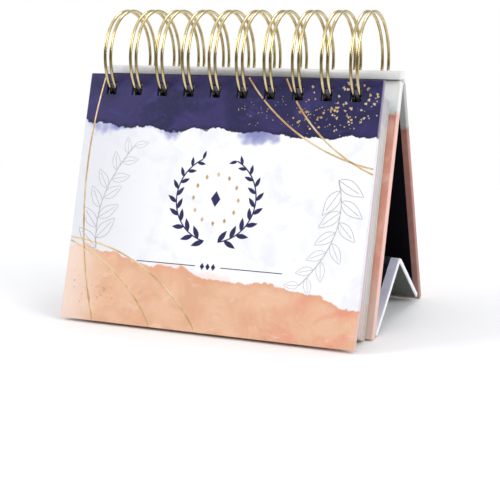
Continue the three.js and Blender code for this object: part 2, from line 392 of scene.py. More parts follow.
def rounded_loop(left, right, low, high, radius, steps=4):
    """A rectangle with round corners, counterclockwise."""
    corners = ((right - radius, low + radius), (right - radius, high - radius),
               (left + radius, high - radius), (left + radius, low + radius))
    loop = []
    for quarter, (x, y) in enumerate(corners, -1):
        for step in range(steps + 1):
            angle = radians(90 * quarter + 90 * step / steps)
            loop.append((x + radius * cos(angle), y + radius * sin(angle)))
    return loop


def filled(points, loops, upward):
    """Triangles between an outer loop of points and the hole loops inside it."""
    order = [index for loop in loops for index in loop]
    edges, boxes = [], []
    for loop in loops:
        start, count = len(edges), len(loop)
        edges += [(start + i, start + (i + 1) % count) for i in range(count)]
        xs, ys = zip(*(points[index][:2] for index in loop))
        boxes.append((min(xs), max(xs), min(ys), max(ys)))
    flat = [Vector(points[index][:2]) for index in order]
    spots, _, triangles, origins, _, _ = delaunay_2d_cdt(flat, edges, [], 1, 1e-5)
    faces = []
    for triangle in triangles:
        x, y = sum((spots[i] for i in triangle), Vector((0, 0))) / 3
        if not any(left < x < right and low < y < high for left, right, low, high in boxes[1:]):
            corners = [order[origins[i][0]] for i in triangle]
            faces.append(tuple(corners if upward else reversed(corners)))
    return faces


def plate(low, high, corner, rim, holes=None, steps=3):
    """A plate with rounded rims, and a row of punched holes where their lower and upper edge are given."""
    points, faces, smooth = [], [], []
    front_loops, back_loops = [], []
    turns = [radians(90 * step / steps) for step in range(steps + 1)]
    levels = [(turn, high.z, -1) for turn in turns] + [(turn, low.z, 1) for turn in reversed(turns)]

    def loft_rim(loop_at, radius):
        rings = []
        for turn, face, side in levels:
            z = face + side * radius * (1 - cos(turn))
            ring = loop_at(radius * (1 - sin(turn)))
            rings.append(range(len(points), len(points) + len(ring)))
            points.extend((x, y, z) for x, y in ring)
        for upper, lower in zip(rings, rings[1:]):
            for i in range(len(upper)):
                j = (i + 1) % len(upper)
                faces.append((upper[i], lower[i], lower[j], upper[j]))
        front_loops.append(rings[0])
        back_loops.append(rings[-1])

    def outline(inset):
        radius = corner - inset / 2
        return rounded_loop(low.x + inset, high.x - inset, low.y + inset, high.y - inset, radius)

    loft_rim(outline, rim)
    for centre in HOLE_CENTRES if holes else []:
        def hole(inset, x=centre):
            half = HOLE_WIDTH / 2 + inset
            low_edge, high_edge = holes[0] - inset, holes[1] + inset
            return rounded_loop(x - half, x + half, low_edge, high_edge, HOLE_CORNER + inset, 2)[::-1]
        loft_rim(hole, min(PUNCH_ROUND, rim))
    smooth.extend([True] * len(faces))
    faces.extend(filled(points, front_loops, True))
    faces.extend(filled(points, back_loops, False))
    smooth.extend([False] * (len(faces) - len(smooth)))
    return points, faces, smooth


def sheet_section(path, thickness):
    """The outline of a sheet bent along a side path, and the faces that close its ends."""
    path = [Vector(point) for point in path]
    outer, inner = [], []
    for i, point in enumerate(path):
        along = (path[min(i + 1, len(path) - 1)] - path[max(i - 1, 0)]).normalized()
        across = Vector((-along.y, along.x)) * thickness / 2
        outer.append(point + across)
        inner.append(point - across)
    outline = outer + inner[::-1]
    last = len(outline) - 1
    caps = [(i, i + 1, last - i - 1, last - i) for i in range(len(path) - 1)]
    return outline, caps, {len(path) - 1, last}


def fan_section(outline):
    """A convex outline with the faces that close its ends. Every edge stays sharp."""
    caps = [(0, i, i + 1) for i in range(1, len(outline) - 1)]
    return outline, caps, set(range(len(outline)))


def drawn_out(section, left, right):
    """A section's outline drawn out along X."""
    outline, caps, sharp = section
    count = len(outline)
    if sum(outline[i - 1].cross(outline[i]) for i in range(count)) < 0:
        outline = outline[::-1]
        caps = [tuple(count - 1 - i for i in reversed(cap)) for cap in caps]
        sharp = {(count - 2 - i) % count for i in sharp}
    points = [(x, spot.x, spot.y) for x in (left, right) for spot in outline]
    faces, smooth = [], []
    for i in range(count):
        j = (i + 1) % count
        faces.append((i, j, count + j, count + i))
        smooth.append(i not in sharp)
    for cap in caps:
        faces.append(tuple(reversed(cap)))
        faces.append(tuple(count + i for i in cap))
        smooth.extend((False, False))
    return points, faces, smooth


def flat_solid(outline, low, high):
    """A thin solid over a convex outline of (x, y) points."""
    count = len(outline)
    points = [(x, y, z) for z in (low, high) for x, y in outline]
    faces = [tuple(reversed(range(count))), tuple(range(count, 2 * count))]
    faces.extend((i, (i + 1) % count, count + (i + 1) % count, count + i) for i in range(count))
    return points, faces, [False] * len(faces)


def path_mesh(name, paths, closed=False):
    """Edges along paths of points."""
    points, edges = [], []
    for path in paths:
        start = len(points)
        points += path
        edges += [(start + i, start + i + 1) for i in range(len(path) - 1)]
        if closed:
            edges.append((len(points) - 1, start))
    mesh = bpy.data.meshes.new(name)
    mesh.from_pydata(points, edges, [])
    return mesh


def stand_flat(made):
    """Cuts a piece level with the surface that the calendar stands on."""
    work = bmesh.new()
    work.from_mesh(made.data)
    everything = work.verts[:] + work.edges[:] + work.faces[:]
    cut = bmesh.ops.bisect_plane(
        work, geom=everything, plane_co=(0, 0, 0), plane_no=(0, 0, 1), clear_inner=True,
    )
    rim = [item for item in cut["geom_cut"] if isinstance(item, bmesh.types.BMEdge)]
    bmesh.ops.holes_fill(work, edges=rim)
    work.to_mesh(made.data)
    work.free()


# Geometry node trees


def node_group(name, **sockets):
    """A geometry node tree with a geometry input, named inputs and a geometry output."""
    group = bpy.data.node_groups.new(name, "GeometryNodeTree")
    group.interface.new_socket("Geometry", in_out="OUTPUT", socket_type="NodeSocketGeometry")
    sockets = {"Geometry": "Geometry", **sockets, "Finish": "Material"}
    for label, kind in sockets.items():
        group.interface.new_socket(label, in_out="INPUT", socket_type="NodeSocket" + kind)
    tree = Tree(group)
    entry = tree.node("NodeGroupInput")
    return tree, {label: entry.output(label) for label in sockets}


def close_group(tree, geometry, inputs):
    """Ends a tree in Realize Instances and Set Material, and returns its node group."""
    solid = tree.node("GeometryNodeRealizeInstances", {"Geometry": geometry})
    dressed = tree.node("GeometryNodeSetMaterial", {"Geometry": solid, "Material": inputs["Finish"]})
    tree.node("NodeGroupOutput", {0: dressed})
    return tree.tree


def run_nodes(mesh, group, **settings):
    """Runs a tree on a mesh, with its named inputs set, and returns the result as a plain mesh."""
    source = in_scene("source", mesh)
    modifier = source.modifiers.new("nodes", "NODES")
    modifier.node_group = group
    for item in group.interface.items_tree:
        if item.item_type == "SOCKET" and item.in_out == "INPUT" and item.name in settings:
            modifier[item.identifier] = settings[item.name]
    graph = bpy.context.evaluated_depsgraph_get()
    result = bpy.data.meshes.new_from_object(source.evaluated_get(graph), depsgraph=graph)
    bpy.data.objects.remove(source)
    return result


def round_wire_tree():
    """A round wire along a route, with closed ends."""
    tree, inputs = node_group("round wire", Radius="Float", Sides="Int")
    curve = tree.node("GeometryNodeMeshToCurve", {"Mesh": inputs["Geometry"]})
    ring = tree.node("GeometryNodeCurvePrimitiveCircle",
                     {"Resolution": inputs["Sides"], "Radius": inputs["Radius"]})
    tube = tree.node("GeometryNodeCurveToMesh", {"Curve": curve, "Profile Curve": ring, "Fill Caps": True})
    smooth = tree.node("GeometryNodeSetShadeSmooth", {"Geometry": tube})
    return close_group(tree, smooth, inputs)


def leaf_stack_tree():
    """Copies of one leaf, one behind the other and a little out of line, each with a tone of its own."""
    tree, inputs = node_group("leaf stack", Leaves="Int", Pitch="Float", Scatter="Float", Seed="Int")
    scatter, seed = inputs["Scatter"], inputs["Seed"]
    step = tree.point(0, 0, -inputs["Pitch"])
    line = tree.node("GeometryNodeMeshLine", {"Count": inputs["Leaves"], "Offset": step})
    shift = tree.chance(tree.point(-scatter, -scatter), tree.point(scatter, scatter), seed, "FLOAT_VECTOR")
    placed = tree.node("GeometryNodeSetPosition", {"Geometry": line, "Offset": shift})
    copies = tree.node("GeometryNodeInstanceOnPoints", {"Points": placed, "Instance": inputs["Geometry"]})
    toned = tree.node("GeometryNodeStoreNamedAttribute",
                      {"Geometry": copies, "Name": "leaf", "Value": tree.chance(0.0, 1.0, seed)},
                      data_type="FLOAT", domain="INSTANCE")
    return close_group(tree, toned, inputs)


def swept_flat(tree, inputs):
    """A flat strip along edges that lie in one plane."""
    curve = tree.node("GeometryNodeMeshToCurve", {"Mesh": inputs["Geometry"]})
    level = tree.node("GeometryNodeSetCurveNormal", {"Curve": curve}, mode="Z_UP")
    section = tree.node("GeometryNodeCurvePrimitiveQuadrilateral",
                        {"Width": inputs["Width"], "Height": inputs["Height"]})
    sockets = {"Curve": level, "Profile Curve": section, "Fill Caps": True}
    return tree.node("GeometryNodeCurveToMesh", sockets)


def flat_line_tree():
    """Foil or ink lines along flat paths."""
    tree, inputs = node_group("flat line", Width="Float", Height="Float")
    return close_group(tree, swept_flat(tree, inputs), inputs)


def scattered(tree, points, shape, angle, scale, along=None):
    """An object's mesh on each point, turned by an angle from X or from the direction along."""
    turn = tree.node("FunctionNodeEulerToRotation", {0: tree.point(0, 0, angle)})
    if along:
        turn = tree.node("FunctionNodeRotateRotation", {0: along, 1: turn}, rotation_space="LOCAL")
    mesh = tree.node("GeometryNodeObjectInfo", {"Object": shape}).output("Geometry")
    return tree.node("GeometryNodeInstanceOnPoints",
                     {"Points": points, "Instance": mesh, "Rotation": turn, "Scale": scale})


def sprig_tree():
    """Leaves set to either side of a stem in turn, smaller towards its tip."""
    tree, inputs = node_group("sprig", Shape="Object", Leaves="Int", Tilt="Float", Shrink="Float",
                              Width="Float", Height="Float", Seed="Int")
    stem = tree.node("GeometryNodeMeshToCurve", {"Mesh": inputs["Geometry"]})
    nodes = tree.node("GeometryNodeCurveToPoints", {"Curve": stem, "Count": inputs["Leaves"]}, mode="COUNT")
    index = tree.node("GeometryNodeInputIndex")
    along = tree.node("FunctionNodeAlignRotationToVector", {"Vector": nodes.output("Tangent")},
                      axis="X", pivot_axis="Z")
    angle = (index % 2 * 2 - 1) * inputs["Tilt"] + tree.chance(-LEAF_SWAY, LEAF_SWAY, inputs["Seed"])
    size = 1 - index / inputs["Leaves"] * inputs["Shrink"]
    leaves = scattered(tree, nodes, inputs["Shape"], angle, size, along)
    grown = tree.node("GeometryNodeJoinGeometry", {0: [swept_flat(tree, inputs), leaves]})
    return close_group(tree, grown, inputs)


def fleck_tree():
    """Flecks of foil scattered over a patch."""
    tree, inputs = node_group("flecks", Shape="Object", Density="Float", Smallest="Float",
                              Largest="Float", Seed="Int")
    seed = inputs["Seed"]
    spots = tree.node("GeometryNodeDistributePointsOnFaces",
                      {"Mesh": inputs["Geometry"], "Density": inputs["Density"], "Seed": seed},
                      distribute_method="RANDOM")
    size = tree.chance(inputs["Smallest"], inputs["Largest"], seed)
    angle = tree.chance(0.0, tau, seed + 1)
    flecks = scattered(tree, spots, inputs["Shape"], angle, tree.point(size, size, 1.0))
    return close_group(tree, flecks, inputs)


# Finishes


def wash_depth(finish, depth, base, wobble, seed):
    """How far a point lies inside a wash whose torn edge wanders about a depth, in millimetres."""
    drift = finish.noise(0.035, 2.0, where=finish.point(finish.x, seed * 17.3))
    torn = finish.noise(0.22, 4.0, 0.6, where=finish.point(finish.x, depth, seed * 5.1))
    return base + (drift - 0.5) * wobble + (torn - 0.5) * 5.0 - depth


def cover_print(top):
    """Navy wash above, white middle and peach wash below, on a smooth laminated board; painted shade greys
    the white towards the left edge.
    """
    finish = Finish("cover watercolour print")
    x = finish.x
    down = top - finish.y
    clouds = finish.noise(0.055, 5.0, 0.6, distortion=0.5)
    pools = finish.noise(0.13, 4.0, 0.65, where=finish.stretched(1.0, 1.6, 1.0), distortion=0.8)
    grain = finish.noise(1.6, 4.0, 0.7)
    mottle = finish.noise(0.09, 4.0, 0.6)
    fibre = finish.noise(3.0)
    spread = finish.noise(0.045, where=finish.point(x, down, 31.0)).step(0.44, 0.7)
    navy_depth = wash_depth(finish, down, 24.0 + x * 0.03, 15.0, 1)
    peach_depth = wash_depth(finish, COVER_HEIGHT - down, 25.0 - x * 0.12, 20.0, 7)
    violet_depth = navy_depth + 8.0 * spread
    blush_depth = peach_depth + 5.0 * spread

    violet = finish.mix(0xCED0E6, 0x888AC0, violet_depth.step(0.0, 7.0))
    navy = finish.over(
        0x363066,
        (0x24224E, clouds.step(0.4, 0.6)),
        (0x3C3E7C, pools.step(0.52, 0.72, 0.0, 0.6)),
        (0x3A2C64, pools.step(0.46, 0.3, 0.0, 0.4)),
        (0x1A1838, navy_depth.step(2.4, 0.1, 0.0, 0.7)),
        (0x54548E, grain.step(0.56, 0.8, 0.0, 0.25) * clouds.step(0.5, 0.62)),
    )
    peach = finish.over(
        0xE3B08E,
        (0xEB9E84, x.step(5.0, 60.0)),
        (0xEDBF9E, clouds.step(0.4, 0.62)),
        (0xF8DAC6, pools.step(0.54, 0.74, 0.0, 0.45)),
        (0xE4A07E, peach_depth.step(3.4, 0.2, 0.0, 0.55)),
        (0xE4A686, mottle.step(0.5, 0.68, 0.0, 0.4)),
        (0xF7E2D6, x.step(-46.0, -68.0, 0.0, 0.75)),
    )
    colour = finish.over(
        0xF1F1F7,
        (0xFBFBFD, clouds.step(0.34, 0.5)),
        # Painted shade: the white greys towards the left edge.
        (0xE2E3E9, x.step(-10.0, -68.0, 0.0, 0.85)),
        (0xFAE8E2, blush_depth.step(0.0, 4.0)),
        (violet, violet_depth.step(-0.2, 3.4)),
        (peach, peach_depth.step(-0.25, 0.45)),
        (navy, navy_depth.step(-0.15, 0.3)),
        (0xC4B8C8, finish.side_edge(COVER_HALF - 0.4, 0.3) * 0.4),
    )
    return finish.surface(colour, fibre.step(0.2, 0.8, 0.36, 0.46), fibre, 0.012)


def easel_print(name, top, fade, inner_face, painted_light_white_edge, painted_light_wet_edge):
    """White at the ridge, then a terracotta wash to the foot. The edges and the turned-in margin take
    painted light: painted shade on the back board, a paler pink painted highlight on the front board.
    """
    finish = Finish(name)
    wash = -wash_depth(finish, top - finish.y, fade, 8.0, 3)
    clouds = finish.noise(0.07, 4.0, 0.6, distortion=0.4)
    pools = finish.noise(0.16, 4.0, 0.65)
    fibre = finish.noise(2.6)
    turned_in = (finish.z - inner_face).size().step(0.4, 0.2)
    # Painted light: this share gives the board's side edges and turned-in margin the edge tones below.
    edge_light_share = finish.side_edge(BOARD_HALF - 0.55, 0.3).largest(turned_in) * 0.7
    white = finish.over(
        0xEEEEEC,
        (0xF7F7F5, fibre.step(0.35, 0.65)),
        (0xCEDED5, wash.step(-9.0, -2.0, 0.0, 0.6) * clouds.step(0.42, 0.6)),
        (painted_light_white_edge, edge_light_share),
    )
    wet = finish.over(
        0xE4A08C,
        (0xF0BAA6, clouds.step(0.4, 0.62)),
        (0xF4D0BE, pools.step(0.54, 0.7, 0.0, 0.6)),
        (0xC67C68, wash.step(6.0, 0.4, 0.0, 0.8)),
        (0xD8C4B6, wash.step(58.0, 92.0, 0.0, 0.85)),
        (painted_light_wet_edge, edge_light_share),
    )
    colour = finish.mix(white, wet, wash.step(-0.8, 1.6))
    return finish.surface(colour, fibre.step(0.2, 0.8, 0.42, 0.54), fibre, 0.014)


def leaf_print(name, share, top, holes):
    """Uncoated leaves: a soft wash at the head and the foot, tones for the trimmed edges, and near-black
    painted shade on the punched holes' walls.
    """
    finish = Finish(name)
    down = top - finish.y
    leaf = finish.node("ShaderNodeAttribute", output="Fac", attribute_name="leaf")
    clouds = finish.noise(0.07, 4.0, 0.6)
    fibre = finish.noise(2.2, 4.0, 0.65)
    foot_wash = wash_depth(finish, LEAF_HEIGHT - down, 15.0, 14.0, 11)
    head_wash = wash_depth(finish, down, 13.0, 9.0, 5)
    light = finish.mix(0xF7E3EA, 0xE7EBE3, share)
    dark = finish.mix(0xE1C6D0, 0xBEC3BA, share)
    trimmed = (finish.x.size() - (LEAF_HALF - 0.4)).largest(0.4 - down).largest(down - (LEAF_HEIGHT - 0.4))
    across = ((finish.x + LOOP_COUNT * WIRE_PITCH) % WIRE_PITCH - WIRE_PITCH / 2).size() - HOLE_WIDTH / 2
    along = (finish.y - (holes[0] + holes[1]) / 2).size() - (holes[1] - holes[0]) / 2
    colour = finish.over(
        0xEAEAED,
        (0xF6F6F6, clouds.step(0.4, 0.6)),
        (0xF3CDBA, foot_wash.step(-0.4, 0.8)),
        (0xE8B096, foot_wash.step(2.2, 0.2, 0.0, 0.6) * foot_wash.step(-0.4, 0.8)),
        (0xB8BCDC, head_wash.step(-0.4, 1.6)),
        (finish.mix(light, dark, leaf.step(0.1, 0.9)), trimmed.step(0.0, 0.3)),
        # Painted shade: the punched holes' walls are near-black.
        (0x221E24, across.largest(along).step(0.12, 0.04)),
    )
    return finish.surface(colour, 0.72, fibre, 0.01, specular=0.3)


def dark_lining_paper():
    """Matt near-black paper with a faint fibre."""
    finish = Finish("near-black lining paper")
    fibre = finish.noise(1.8, 5.0, 0.7)
    strands = finish.noise(0.5, 4.0, 0.7, where=finish.stretched(0.3, 1.6, 1.0))
    colour = finish.over(
        0x03030B,
        (0x0B0B19, fibre.step(0.4, 0.7)),
        (0x141426, strands.step(0.58, 0.75, 0.0, 0.5)),
    )
    return finish.surface(colour, fibre.step(0.3, 0.7, 0.6, 0.78), fibre, 0.02, specular=0.15)


def plain_paper(name, light, shade, roughness=0.55):
    """Smooth pale paper with faint mottling."""
    finish = Finish(name)
    mottle = finish.noise(0.09, 4.0, 0.6)
    fibre = finish.noise(2.6, 4.0, 0.6)
    streaks = finish.noise(0.6, 3.0, 0.6, where=finish.stretched(0.04, 1.0, 1.0))
    colour = finish.over(
        shade,
        (light, mottle.step(0.35, 0.62)),
        (shade, streaks.step(0.5, 0.72, 0.0, 0.6)),
    )
    return finish.surface(colour, fibre.step(0.2, 0.8, roughness - 0.06, roughness + 0.06), fibre, 0.015)


def pulp_board(finish, light, dark, speck, dense, speckled):
    """The colour and the grain of bare board: pulp in two tones, with dark specks."""
    pulp = finish.noise(1.4, 5.0, 0.75)
    specks = finish.noise(4.5, 2.0)
    colour = finish.mix(dark, light, pulp.step(0.35, 0.65))
    return finish.mix(colour, speck, specks.step(dense, speckled, 0.0, 0.6)), pulp


def base_wrap(name, underside):
    """Pale lilac wrapping paper over the top and the edges of a board whose underside is bare greyboard. The
    top's lilac-grey, lighter towards the fold the panel turns about, and the white side edges paint the
    light and shade of the stand; the underside's dark tone is partly painted shade.
    """
    finish = Finish(name)
    mottle = finish.noise(0.09, 4.0, 0.6)
    # Painted light and shade: a lilac-grey top that lightens towards the fold the panel turns about, and a
    # white painted highlight on the side edges.
    wrap = finish.over(
        0xC2C2D8,
        (0xD0D0E2, mottle.step(0.35, 0.62)),
        (0xF4F4F6, finish.y.step(22.0, 3.0, 0.0, 0.85)),
        (0xF0F1F6, finish.side_edge(BOARD_HALF - 0.5, 0.2)),
    )
    # The underside's dark greyboard tone is partly bare board and partly painted shade.
    bare, pulp = pulp_board(finish, 0x686C64, 0x525650, 0x3A3A36, 0.62, 0.74)
    below = (finish.z - underside).size().step(0.16, 0.08) * (1 - finish.side_edge(BOARD_HALF - 0.7, 0.2))
    colour = finish.mix(wrap, bare, below)
    return finish.surface(colour, below.step(0.0, 1.0, 0.5, 0.85), pulp, 0.02)


def greyboard():
    """Raw pulp board, as seen at a cut end."""
    finish = Finish("raw greyboard")
    colour, pulp = pulp_board(finish, 0xACA9A2, 0x928F88, 0x68635C, 0.64, 0.74)
    return finish.surface(colour, 0.85, pulp, 0.05, specular=0.5)


def metal(name, light, dark, roughness, streak_scale, depth, metallic=1.0):
    """A pale gold metal whose colour varies in streaks between a light and a dark tone; on the foil the
    strong contrast is painted highlight.
    """
    finish = Finish(name)
    drawn = finish.noise(streak_scale, 3.0, 0.6)
    fine = finish.noise(3.2, 4.0, 0.6)
    colour = finish.mix(dark, light, drawn.step(0.3, 0.7))
    uneven = fine.step(0.2, 0.8, roughness - 0.04, roughness + 0.06)
    return finish.surface(colour, uneven, fine, depth, 0.5, metallic)


def printed_ink(name, full, thin):
    """Ink that lies a little unevenly."""
    finish = Finish(name)
    wear = finish.noise(0.8, 3.0, 0.6)
    colour = finish.mix(full, thin, wear.step(0.5, 0.75, 0.0, 0.8))
    return finish.surface(colour, wear.step(0.3, 0.7, 0.42, 0.5))


# Boards, linings and leaves


def board(name, node, place, material, body, rim, corner, drop=0.0):
    low, high = panel_box(node, place)
    high.z -= drop
    shape = plate(low, high, corner, rim, hole_span(node, place))
    return piece(name, shape, place, material, body, [node])


def lining(name, node, place, material, body, backing, reach=None, widen=0.0):
    """A pasted sheet that is thickened to the board's face behind it, and may reach further up and out."""
    low, high = panel_box(node, place)
    low.x -= widen
    high.x += widen
    low.z, high.z = min(low.z, backing), max(high.z, backing)
    if reach:
        high.y = reach
    shape = plate(low, high, LINING_CORNER, LINING_ROUND, hole_span(node, place), 2)
    piece(name, shape, place, material, body, [node])


def month_leaves(month, number, tree):
    """A month's leaves as separate sheets, each punched for the wire."""
    node = month + "_leaves"
    place = panel_frame(node, JOINTS[month + "_turn"])
    low, high = panel_box(node, place)
    holes = hole_span(node, place)
    pitch = (high.z - low.z) / SHEETS_PER_MONTH
    sheet_low = Vector((low.x + SHEET_SCATTER, low.y + SHEET_SCATTER, high.z - pitch + SHEET_GAP))
    sheet_high = Vector((high.x - SHEET_SCATTER, high.y - SHEET_SCATTER, high.z))
    sheet = drawn_mesh("leaf", plate(sheet_low, sheet_high, LEAF_CORNER, LEAF_ROUND, holes, 1))
    keep_panel_points(sheet)
    material = leaf_print(f"leaves of {month}", number / (len(MONTHS) - 1), high.y, holes)
    stack = run_nodes(sheet, tree, Leaves=SHEETS_PER_MONTH, Pitch=pitch, Scatter=SHEET_SCATTER,
                      Seed=FIRST_LEAF_SEED + number, Finish=material)
    piece(month + "_sheets", stack, place, material, month, [node])


# Binding wire


def wire_route():
    """Pairs of loops that meet the root behind the back board, as points round the wire's axis."""
    axis = JOINTS["cover_turn"] / MM
    bend = ROOT_BEND_RADIUS / LOOP_RADIUS
    root = CLOSURE_ANGLE - bend
    tip = CLOSURE_ANGLE - tau + (TIP_GAP + PAIR_HALF) / LOOP_RADIUS
    left = []
    for i in range(BEND_STEPS + 1):
        turn = i / BEND_STEPS * pi / 2
        out = PAIR_HALF + ROOT_BEND_RADIUS * (1 - sin(turn))
        left.append((-out, CLOSURE_ANGLE - bend * (1 - cos(turn))))
    left += [(-PAIR_HALF, root + (tip - root) * i / ARC_STEPS) for i in range(1, ARC_STEPS + 1)]
    turns = [i / TIP_STEPS * pi for i in range(1, TIP_STEPS)]
    tips = [(-PAIR_HALF * cos(turn), tip - PAIR_HALF / LOOP_RADIUS * sin(turn)) for turn in turns]
    pair = left + tips + [(-x, angle) for x, angle in reversed(left)]
    stub = PAIR_HALF + ROOT_STUB
    route = [(HOLE_CENTRES[0] - stub, CLOSURE_ANGLE)]
    route += [(centre + x, angle) for centre in HOLE_CENTRES for x, angle in pair]
    route.append((HOLE_CENTRES[-1] + stub, CLOSURE_ANGLE))
    return [(x, axis.y + LOOP_RADIUS * sin(angle), axis.z - LOOP_RADIUS * cos(angle))
            for x, angle in route]


def binding_wire(material):
    """The twin-loop wire, drawn as one unbroken round wire."""
    line = path_mesh("wire route", [wire_route()])
    wire = run_nodes(line, round_wire_tree(), Radius=WIRE_RADIUS, Sides=WIRE_SIDES, Finish=material)
    piece("twin_loop_wire", wire, IN_FRAME, material, "easel", ["binding_wire"])


# Ridge and paper hinges


def ridge_cover(material):
    """Wrapping paper folded over the spine strip and turned in at both ends."""
    low, high = in_mm(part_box("ridge_wrap"))
    left, right = low.y + RIDGE_SKIN / 2, high.y - RIDGE_SKIN / 2
    top = high.z - RIDGE_SKIN / 2
    turns = [radians(90 * step / 5) for step in range(6)]
    fold = [(RIDGE_ROUND * (1 - cos(turn)), RIDGE_ROUND * (1 - sin(turn))) for turn in turns]
    path = [(right, low.z)]
    path += [(right - across, top - down) for across, down in fold]
    path += [(left + across, top - down) for down, across in fold]
    path += [(left, low.z)]
    closure = fan_section([Vector(point) for point in path])
    shape = joined(
        drawn_out(sheet_section(path, RIDGE_SKIN), low.x, high.x),
        drawn_out(closure, low.x + RIDGE_INSET, low.x + RIDGE_END),
        drawn_out(closure, high.x - RIDGE_END, high.x - RIDGE_INSET),
    )
    piece("ridge_cover_paper", shape, IN_FRAME, material, "easel", ["ridge_wrap"])


def spine_strip(material):
    low, high = in_mm(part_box("ridge_spine"))
    low.x += RIDGE_END
    high.x -= RIDGE_END
    strip = plate(low, high, SPINE_CORNER, SPINE_ROUND, steps=2)
    piece("spine_strip", strip, IN_FRAME, material, "easel", ["ridge_spine"])


def bent_sheet(name, path, inset, material, body, thickness=HINGE_PAPER):
    """A strip of paper bent along a side path, that ends short of the boards' side edges."""
    half = BOARD_HALF - inset
    piece(name, drawn_out(sheet_section(path, thickness), -half, half), IN_FRAME, material, body)


def groove_paper(place, material):
    """A sheet in the groove between the ridge and the front board, in the near-black lining paper: painted
    shade for the dark gap under the ridge.
    """
    spine = in_mm(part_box("ridge_spine"))[0]
    low, high = panel_box("easel_front_board", place)
    path = [
        Vector((spine.y - 0.1, spine.z - HINGE_PAPER)),
        Vector((spine.y + 1.6, spine.z - HINGE_PAPER)),
        side_point(place, high.y + HINGE_PAPER, high.z - 0.9),
        side_point(place, high.y + HINGE_PAPER, low.z + 0.3),
    ]
    bent_sheet("groove_paper", path, 1.0, material, "easel")


def back_hinge(place, material):
    """The wrap's flap from the ridge over the top of the back board."""
    ridge_low, ridge_high = in_mm(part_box("ridge_wrap"))
    low, high = panel_box("easel_back_board", place)
    start = Vector((ridge_high.y - RIDGE_SKIN / 2, ridge_low.z))
    face = low.z - HINGE_PAPER
    bend = side_point(place, high.y, face)
    path = [start + Vector((0, 0.6)), start]
    path += [start.lerp(bend, 0.3) + Vector((0.12, 0.1)), start.lerp(bend, 0.65) + Vector((0.14, 0.12))]
    path += [side_point(place, high.y - lap, face) for lap in (0.0, 1.0, 5.0)]
    body = ("easel", "back_board", frame_point(start), frame_point(bend))
    bent_sheet("back_hinge_paper", path, 0.3, material, body, 2 * HINGE_PAPER)


def foot_hinge(front_place, base_place, material):
    """The paper that joins the base's front panel to the foot of the front board."""
    pivot = front_place.inverted() @ JOINTS["base_front_fold"] / MM
    lining_face = panel_box("front_board_lining", front_place)[0].z
    on_board = ((4.5, 0.1), (0.8, 0.1), (0.1, 0.18))
    on_base = ((0.15, 0.16), (0.8, 0.09), (3.6, 0.09))
    path = [side_point(front_place, pivot.y + up, lining_face - off) for up, off in on_board]
    path += [side_point(base_place, along, off) for along, off in on_base]
    body = ("easel", "base_front", frame_point(path[2]), frame_point(path[3]))
    bent_sheet("base_foot_hinge", path, 0.6, material, body)


def crease_fold(front_place, back_place, wrap, dark):
    """The base's crease: the wrap drawn over both panels' ends, and the dark lining across it."""
    front_corner = side_point(front_place, BASE_LENGTH, 0)
    back_corner = side_point(back_place, panel_box("base_back_panel", back_place)[1].y, -BASE_THICKNESS)
    body = ("base_front", "base_back", frame_point(front_corner), frame_point(back_corner))
    root = side_point(front_place, BASE_LENGTH + 0.1, -BASE_THICKNESS + 0.2)
    outline = [root] + [front_corner.lerp(back_corner, i / 6) for i in range(7)]
    half = BOARD_HALF - 0.4
    piece("crease_fold", drawn_out(fan_section(outline), -half, half), IN_FRAME, wrap, body)

    lift = panel_box("base_front_lining", front_place)[1].z + HINGE_PAPER / 2 + 0.01
    first = side_point(front_place, BASE_LENGTH - 0.1, lift)
    last = side_point(back_place, -0.4, -BASE_THICKNESS - lift)
    path = [side_point(front_place, BASE_LENGTH - short, lift) for short in (4, 1.2)]
    path += [first.lerp(last, i / 5) for i in range(6)]
    path += [side_point(back_place, -short, -BASE_THICKNESS - lift) for short in (1.5, 4.3)]
    bent_sheet("crease_lining", path, LINING_MARGIN, dark, body)


# Cover artwork, laid out in (x, down) millimetres from the middle of the cover's top edge


def circle_path(centre_x, centre_down, radius, first, last, steps):
    """Part of a circle, with angles in degrees from the right and turning downwards."""
    angles = [radians(first + (last - first) * i / steps) for i in range(steps + 1)]
    return [(centre_x + radius * cos(a), centre_down + radius * sin(a)) for a in angles]


def curved_path(points, steps):
    """A quadratic curve through its start, towards its middle point and to its end."""
    start, towards, end = (Vector(point) for point in points)
    shares = [i / steps for i in range(steps + 1)]
    return [tuple(start * (1 - t) ** 2 + towards * 2 * t * (1 - t) + end * t ** 2) for t in shares]


def diamond(x, down, wide, tall):
    return [(x - wide, down), (x, down - tall), (x + wide, down), (x, down + tall)]


def leaf_rim(length, width, fullness, steps):
    """One side of a pointed leaf, from its root to its tip."""
    shares = [i / steps for i in range(steps + 1)]
    return [(length * t, width / 2 * sin(pi * t ** fullness)) for t in shares]


def mesh_shape(mesh):
    points = [tuple(vertex.co) for vertex in mesh.vertices]
    faces = [tuple(face.vertices) for face in mesh.polygons]
    return points, faces, [False] * len(faces)


